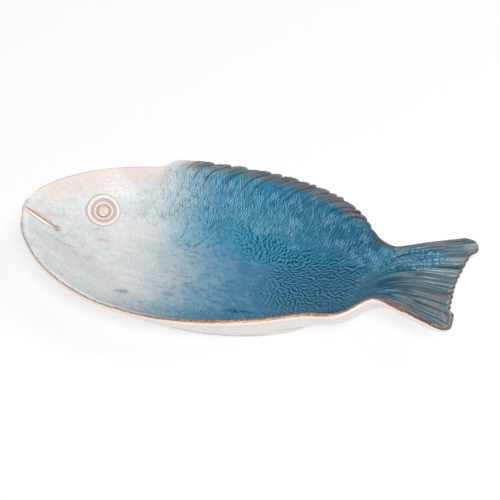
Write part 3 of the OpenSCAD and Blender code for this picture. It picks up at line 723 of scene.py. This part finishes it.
    # grooves hold deep blue, crests break to brown, and fine lines run along rays and ribs
    colour = wash(tree, colour, crest, 0.42, 0.08, 0.8, "#17485A")
    breaks = crest
    for source, weight in ((grain, 0.5), (cloud, 0.5), (tailPart, -0.64)):
        breaks = putNode(tree, "Math", {0: source, 1: weight, 2: breaks}, operation="MULTIPLY_ADD")
    breaks = putNode(tree, "MapRange", {"Value": breaks, "From Min": 0.62, "From Max": 0.95,
                                        "To Max": 0.85}, **soft)
    nearEdge = putNode(tree, "MapRange", {"Value": band, "From Min": 15.5, "From Max": 9.0}, **soft)
    nearEdge = putNode(tree, "Math", {0: nearEdge, 1: tailPart}, operation="MAXIMUM")
    unpatched = putNode(tree, "MapRange", {"Value": patch, "To Min": 1.0, "To Max": 0.0}, **soft)
    nearEdge = allOf(tree, nearEdge, rayed, unpatched)
    breaks = allOf(tree, breaks, nearEdge)
    clayTone = putNode(tree, "Mix", {0: wisps, 6: tone("#5C5856"), 7: tone("#A28D83")}, **blend)
    colour = putNode(tree, "Mix", {0: breaks, 6: colour, 7: clayTone}, **blend)
    lengthwise = putNode(tree, "Math", {0: x, 1: rim}, operation="ADD")
    lengthwise = putNode(tree, "Math", {0: lengthwise, 1: 1 / 26}, operation="MULTIPLY")
    line = putNode(tree, "CombineXYZ", {0: ray, 1: lengthwise})
    lines = putNode(tree, "TexNoise", {"Vector": line, "Scale": 1.0, "Detail": 3.0})
    tan = putNode(tree, "TexNoise", {"Vector": line, "Scale": 1.7, "Detail": 2.0})
    flow = putNode(tree, "TexNoise", {"Vector": line, "Scale": 0.4, "Detail": 2.0})
    plainRays = allOf(tree, rayed, unpatched)
    onRoot = putNode(tree, "MapRange", {"Value": x, "From Min": 165.0, "From Max": 135.0}, **soft)
    behind = putNode(tree, "MapRange", {"Value": x, "From Min": 95.0, "From Max": 105.0})
    onRoot = allOf(tree, onRoot, rayed, behind)
    for source, place, off, full, share, shade in (
            (flow, onRoot, 0.49, 0.40, 0.8, "#0C4A63"), (flow, onRoot, 0.53, 0.62, 0.5, "#6FA3B6"),
            (lines, rayed, 0.49, 0.40, 0.7, "#1B4A5C"), (lines, plainRays, 0.53, 0.62, 0.45, "#8FA3AB"),
            (tan, nearEdge, 0.53, 0.64, 0.65, "#94806F")):
        colour = wash(tree, colour, source, off, full, share, shade, place)

    # edges: a brown line where the glaze breaks, a peach-white roll outside it, a pale outside
    uneven = putNode(tree, "Math", {0: cloud, 1: 1.8, 2: band}, operation="MULTIPLY_ADD")
    uneven = putNode(tree, "Math", {0: grain, 1: 1.6, 2: uneven}, operation="MULTIPLY_ADD")
    uneven = putNode(tree, "Math", {0: uneven, 1: 1.7}, operation="SUBTRACT")
    golden = putNode(tree, "ValToRGB", {0: grain}, stops=(
        (0.35, "#74492F"), (0.66, "#C79A70"), (0.5, "#A5744E")))
    dull = putNode(tree, "Math", {0: backPart, 1: tailPart}, operation="MAXIMUM")
    brownTone = putNode(tree, "Mix", {0: dull, 6: golden, 7: tone("#62554B")}, **blend)
    for reach, share, shade in ((brownTo, 0.9, brownTone), (peachTo, 1.0, tone("#F8E6DB"))):
        part = putNode(tree, "Math", {0: reach, 1: uneven}, operation="SUBTRACT")
        part = putNode(tree, "MapRange", {"Value": part, "From Min": -0.5, "From Max": 0.5,
                                          "To Max": share}, **soft)
        colour = putNode(tree, "Mix", {0: part, 6: colour, 7: shade}, **blend)
    colour = wash(tree, colour, uneven, 0.0, -4.0, 1.0, outsideTone)

    # runs and curls stand up a little, and the pale head and the crackled patch are less glossy
    inside = putNode(tree, "MapRange", {"Value": band, "From Min": 0.0, "From Max": 4.0})
    height = allOf(tree, runs, steep)
    curlHeight = allOf(tree, curls, curled)
    height = putNode(tree, "Math", {0: curlHeight, 1: 1.2, 2: height}, operation="MULTIPLY_ADD")
    height = allOf(tree, height, inside)
    height = putNode(tree, "Math", {0: cloud, 1: 0.6, 2: height}, operation="MULTIPLY_ADD")
    bump = putNode(tree, "Bump", {"Height": height, "Strength": 0.3, "Distance": 0.0010})
    gloss = putNode(tree, "MapRange", {"Value": cloud, "From Min": 0.3, "From Max": 0.7,
                                       "To Min": 0.20, "To Max": 0.34})
    for part, rough in ((pale, 0.24), (patch, 0.16)):
        gloss = putNode(tree, "Math", {0: part, 1: rough, 2: gloss}, operation="MULTIPLY_ADD")
    addShader(tree, colour, gloss, bump)
    return material


# pale glaze over pressed rolls: pale on the crests, turning to a brown line towards the foot of each roll
def paleGlaze(name, crestTone, lineTone, full):
    material, tree = newMaterial(name)
    coords = putNode(tree, "TexCoord", out="Object")
    rise = putNode(tree, "Attribute", out="Fac", attribute_name="rise")
    grain = putNode(tree, "TexNoise", {"Vector": coords, "Scale": 1000 / 1.4, "Detail": 3.0})
    uneven = putNode(tree, "Math", {0: grain, 1: 1.4, 2: rise}, operation="MULTIPLY_ADD")
    colour = wash(tree, tone(lineTone), uneven, 0.5, full, 1.0, crestTone)
    bump = putNode(tree, "Bump", {"Height": grain, "Strength": 0.2, "Distance": 0.0004})
    addShader(tree, colour, 0.22, bump)
    return material


# foot: pale glaze down its sides, wiped off the bottom, where dry grey-beige stoneware with fine grit shows
def stonewareFoot():
    material, tree = newMaterial("glazedStonewareFoot")
    coords = putNode(tree, "TexCoord", out="Object")
    z = putNode(tree, "SeparateXYZ", {0: coords}, out=2)
    grit = putNode(tree, "TexNoise", {"Vector": coords, "Scale": 1000 / 1.2, "Detail": 4.0})
    bare = putNode(tree, "Mix", {0: grit, 6: tone("#A89A8D"), 7: tone("#CFC3B8")}, **blend)
    wiped = putNode(tree, "Math", {0: grit, 1: 0.0012, 2: z}, operation="MULTIPLY_ADD")
    wiped = putNode(tree, "MapRange", {"Value": wiped, "From Min": 0.0026, "From Max": 0.0020}, **soft)
    colour = putNode(tree, "Mix", {0: wiped, 6: tone(outsideTone), 7: bare}, **blend)
    dry = putNode(tree, "MapRange", {"Value": wiped, "To Min": 0.25, "To Max": 0.8})
    bump = putNode(tree, "Bump", {"Height": grit, "Strength": 0.3, "Distance": 0.0004})
    addShader(tree, colour, dry, bump)
    return material


glaze = reactiveGlaze()
ringGlaze = paleGlaze("paleRingGlaze", "#FBEFEA", "#8C7067", 1.35)
# the lips share one cream glaze: the upper lip's peach-brown is painted shade, the lower lip's bright cream
# is partly a painted highlight
upperLipPaintedShade = paleGlaze("peachLipPaintedShade", "#D9B09A", "#94674F", 2.0)
lowerLipGlazeAndHighlight = paleGlaze("creamLipGlazeAndPaintedHighlight", "#FBEDE4", "#A5775F", 1.8)
buttonGlaze = paleGlaze("creamButtonGlaze", "#EADBD3", "#8A6C61", 2.2)
clay = stonewareFoot()
pieces = ((dish, "dish", "blue_glaze", glaze), (tail, "tail_fin", "fin_glaze", glaze),
          (fin, "dorsal_fin", "fin_glaze", glaze), (foot, "foot_ring", "bare_clay", clay),
          (eyeOuter, "eye_outer_ring", "pale_glaze", ringGlaze),
          (eyeInner, "eye_inner_ring", "pale_glaze", ringGlaze),
          (pupil, "eye_pupil", "cream_glaze", buttonGlaze),
          (upperLip, "upper_lip", "cream_glaze", upperLipPaintedShade),
          (lowerLip, "lower_lip", "cream_glaze", lowerLipGlazeAndHighlight))
for piece, nodeName, slotName, material in pieces:
    piece.data.materials.append(material)
    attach(piece, "root")
    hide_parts(nodeName)
print("platter: glazed")

# floor, light and camera
stageValues = {"floor": 6.0, "glow": 0.68, "horizon": 1.0, "ceiling": 0.28,
               "aim": (0, 0, 0.03), "keyPlace": (0.60, -1.2, 1.75), "keySize": 0.6, "keyPower": 24.5,
               "sidePlace": (1.22, 0.66, 1.72), "sideSize": 0.9, "sidePower": 13.5}
bpy.ops.object.select_all(action="DESELECT")
bpy.ops.mesh.primitive_plane_add(size=stageValues["floor"], location=(0, 0, 0))
floor = bpy.context.active_object
floor.name = "studioFloor"

# white floor: glows a little to the eye, so that it fades into the background, and still shows the shadow
floorMaterial, tree = newMaterial("studioWhiteFloor")
path = putNode(tree, "LightPath").node
seen = path.outputs["Is Camera Ray"]
for other in ("Is Glossy Ray", "Is Transmission Ray"):
    seen = putNode(tree, "Math", {0: seen, 1: path.outputs[other]}, operation="MAXIMUM")
plain = putNode(tree, "BsdfDiffuse", {"Color": tone("#E8E8E8")})
shade = putNode(tree, "BsdfDiffuse", {"Color": tone("#A0A0A0")})
glow = putNode(tree, "Emission", {"Color": (1, 1, 1, 1), "Strength": stageValues["glow"]})
lit = putNode(tree, "AddShader", {0: shade, 1: glow})
mixed = putNode(tree, "MixShader", {0: seen, 1: plain, 2: lit})
tree.links.new(mixed, tree.nodes.new("ShaderNodeOutputMaterial").inputs["Surface"])
floor.data.materials.append(floorMaterial)

# a studio with white walls and a dim ceiling
world = bpy.data.worlds.new("studioWorld")
world.use_nodes = True
scene.world = world
tree = world.node_tree
tree.nodes.clear()
up = putNode(tree, "SeparateXYZ", {0: putNode(tree, "TexCoord", out="Generated")}, out=2)
level = putNode(tree, "MapRange", {"Value": up, "From Min": 0.10, "From Max": 0.45,
                                   "To Min": stageValues["horizon"], "To Max": stageValues["ceiling"]})
sky = putNode(tree, "Background", {"Color": (1, 1, 1, 1), "Strength": level})
tree.links.new(sky, tree.nodes.new("ShaderNodeOutputWorld").inputs["Surface"])

# a key softbox in front and a side one behind the tail
for name in ("key", "side"):
    lamp = bpy.data.lights.new(name + "Box", "AREA")
    lamp.shape = "SQUARE"
    lamp.size = stageValues[name + "Size"]
    lamp.energy = stageValues[name + "Power"]
    box = bpy.data.objects.new(name + "Box", lamp)
    box.location = stageValues[name + "Place"]
    toAim = Vector(stageValues["aim"]) - box.location
    box.rotation_euler = toAim.to_track_quat("-Z", "Y").to_euler()
    scene.collection.objects.link(box)

cameraValues = {"azimuth": 14, "elevation": 45, "distance": 1.3, "lens": 104.33, "sensor": 36,
                "target": (0.005639, 0.017257, 0.030)}
turn, tilt = math.radians(cameraValues["azimuth"]), math.radians(cameraValues["elevation"])
back = Vector((math.sin(turn) * math.cos(tilt), -math.cos(turn) * math.cos(tilt), math.sin(tilt)))
camera = bpy.data.objects.new("photoCamera", bpy.data.cameras.new("photoCamera"))
camera.data.lens = cameraValues["lens"]
camera.data.sensor_width = cameraValues["sensor"]
camera.location = Vector(cameraValues["target"]) + back * cameraValues["distance"]
camera.rotation_euler = back.to_track_quat("Z", "Y").to_euler()
scene.collection.objects.link(camera)
scene.camera = camera
print("platter: stage set")
